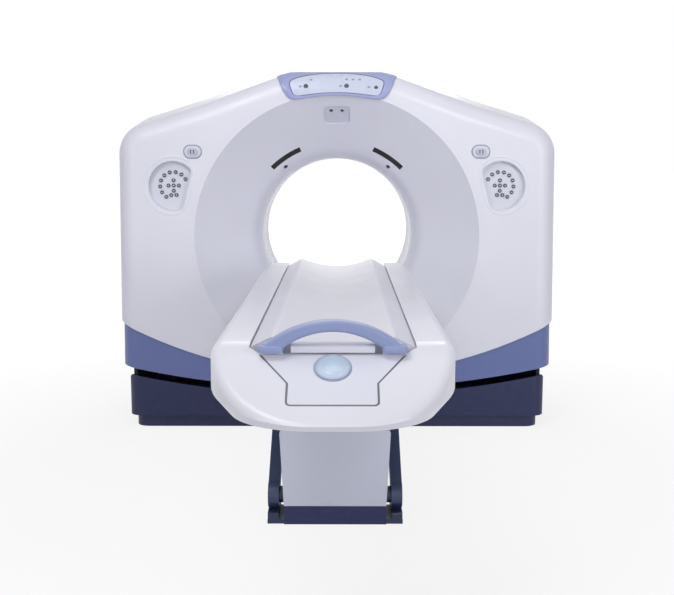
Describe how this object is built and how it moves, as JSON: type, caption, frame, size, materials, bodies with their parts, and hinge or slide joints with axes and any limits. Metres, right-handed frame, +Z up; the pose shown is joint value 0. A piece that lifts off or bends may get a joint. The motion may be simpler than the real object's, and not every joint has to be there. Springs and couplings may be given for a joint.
{
  "type": "ct scanner",
  "caption": "CT scanner: flared ring gantry that tilts on a floor base, with a rotor inside, and a patient table on a scissor lift whose cradle slides through the bore.",
  "frame": {"origin": "on the floor, under the gantry's isocentre, in the middle of the gantry's floor plate", "axes": "+Z up; +Y from the table through the bore to the rear; +X to the right seen from the table"},
  "size_m": [2.056, 3.124, 1.64],
  "materials": {
    "white_cover": "satin moulded shell",
    "blue_cover": "satin moulded shell",
    "navy_cover": "satin powder coat",
    "window": "smooth thin sheet",
    "bezel": "satin",
    "display": "smooth",
    "breath_light": "smooth",
    "laser_slot": "dark gloss",
    "pod": "fine grain",
    "keys": "fine grain",
    "stop_button": "fine grain",
    "steel_frame": "satin powder coat",
    "bare_steel": "ground",
    "drive_case": "satin paint",
    "rotor_metal": "machined",
    "slip_ring": "machined",
    "rotor_box": "satin paint",
    "tube": "cast and painted",
    "weight": "painted",
    "belt": "matt",
    "roller_rubber": "matt",
    "lift_arm": "satin powder coat",
    "front_panel": "satin powder coat",
    "deck": "satin",
    "disc": "smooth",
    "cradle": "smooth carbon-cored shell, painted",
    "handle": "satin"
  },
  "bodies": {
    "base": {"base_front_cover": "navy_cover", "base_rear_cover": "navy_cover", "gantry_floor_plate": "steel_frame", "tilt_pedestal_left": "steel_frame", "tilt_pedestal_right": "steel_frame", "anchor_bolts": "bare_steel", "tilt_gearmotor": "drive_case", "table_base_frame": "steel_frame", "table_kick_cover": "navy_cover", "table_front_panel": "front_panel", "lift_gearmotor": "drive_case", "floor_duct_cover": "navy_cover"},
    "gantry": {"front_cover": "white_cover", "rear_cover": "white_cover", "front_flare": "white_cover", "rear_flare": "white_cover", "lower_front_cover": "blue_cover", "lower_rear_cover": "blue_cover", "scan_window": "window", "display_bezel": "bezel", "display_panel": "display", "breath_light_panel": "breath_light", "laser_windows": "laser_slot", "control_pods": "pod", "control_keys": "keys", "stop_bezels": "pod", "trunnion_shafts": "bare_steel", "tilt_frame": "steel_frame", "cover_brackets": "steel_frame", "main_bearing_outer": "bare_steel", "brush_block": "rotor_box", "drive_belt": "belt", "drive_motor": "drive_case"},
    "rotor": {"rotor_drum": "rotor_metal", "main_bearing_inner": "bare_steel", "slip_ring": "slip_ring", "xray_tube": "tube", "collimator": "rotor_box", "detector_array": "rotor_box", "hv_tank": "rotor_box", "heat_exchanger": "tube", "rotor_electronics": "rotor_box", "counterweight": "weight"},
    "pulley": {"drive_pulley": "rotor_metal"},
    "stop_left": {"stop_button_left": "stop_button"},
    "stop_right": {"stop_button_right": "stop_button"},
    "outer_link": {"lift_outer_arms": "lift_arm"},
    "inner_link": {"lift_inner_arms": "lift_arm"},
    "upper_roller": {"upper_rollers": "bare_steel"},
    "lower_roller": {"lower_rollers": "bare_steel"},
    "table": {"table_shell": "white_cover", "under_pan": "white_cover", "foot_deck_panel": "deck", "domed_disc": "disc", "table_chassis": "steel_frame", "cradle_rails": "rotor_metal", "cradle_drive_unit": "drive_case"},
    "cradle_slider": {"cradle": "cradle", "cradle_handle": "handle"},
    "drive_roller": {"cradle_drive_roller": "roller_rubber"}
  },
  "joints": [
    {"name": "gantry_tilt", "type": "hinge", "parent": "base", "child": "gantry", "pos_m": [0, 0, 0.865], "axis": [-1, 0, 0], "range_deg": [-30, 30]},
    {"name": "rotor_spin", "type": "hinge", "parent": "gantry", "child": "rotor", "pos_m": [0, 0, 0.865], "axis": [0, 1, 0], "continuous": true},
    {"name": "pulley_spin", "type": "hinge", "parent": "gantry", "child": "pulley", "pos_m": [0.47245, 0.036, 0.30196], "axis": [0, 1, 0], "continuous": true},
    {"name": "stop_left_press", "type": "slide", "parent": "gantry", "child": "stop_left", "axis": [0, 1, 0], "range_m": [0, 0.005], "stiffness_N_per_m": 400},
    {"name": "stop_right_press", "type": "slide", "parent": "gantry", "child": "stop_right", "axis": [0, 1, 0], "range_m": [0, 0.005], "stiffness_N_per_m": 400},
    {"name": "lift", "type": "hinge", "parent": "base", "child": "outer_link", "pos_m": [0, -1.585, 0.085], "axis": [1, 0, 0], "range_deg": [-21, 19.6]},
    {"name": "scissor_pivot", "type": "hinge", "parent": "outer_link", "child": "inner_link", "pos_m": [0, -1.24963, 0.303], "axis": [1, 0, 0], "range_deg": [-39.3, 42.1]},
    {"name": "table_pivot", "type": "hinge", "parent": "inner_link", "child": "table", "pos_m": [0, -1.585, 0.521], "axis": [1, 0, 0], "range_deg": [-21.1, 19.7]},
    {"name": "upper_roller_spin", "type": "hinge", "parent": "outer_link", "child": "upper_roller", "pos_m": [0, -0.91425, 0.521], "axis": [1, 0, 0], "continuous": true},
    {"name": "lower_roller_spin", "type": "hinge", "parent": "inner_link", "child": "lower_roller", "pos_m": [0, -0.91425, 0.085], "axis": [1, 0, 0], "continuous": true},
    {"name": "cradle_slide", "type": "slide", "parent": "table", "child": "cradle_slider", "axis": [0, 1, 0], "range_m": [0, 1.55]},
    {"name": "drive_roller_spin", "type": "hinge", "parent": "table", "child": "drive_roller", "pos_m": [0, -1, 0.7137], "axis": [-1, 0, 0], "range_deg": [-1, 2965]}
  ],
  "couplings": [
    {"joint": "pulley_spin", "follows": "rotor_spin", "ratio": 10},
    {"joint": "scissor_pivot", "follows": "lift", "ratio": -2},
    {"joint": "table_pivot", "follows": "lift", "ratio": 1},
    {"joint": "drive_roller_spin", "follows": "cradle_slide", "rad_per_m": 33.333}
  ]
}
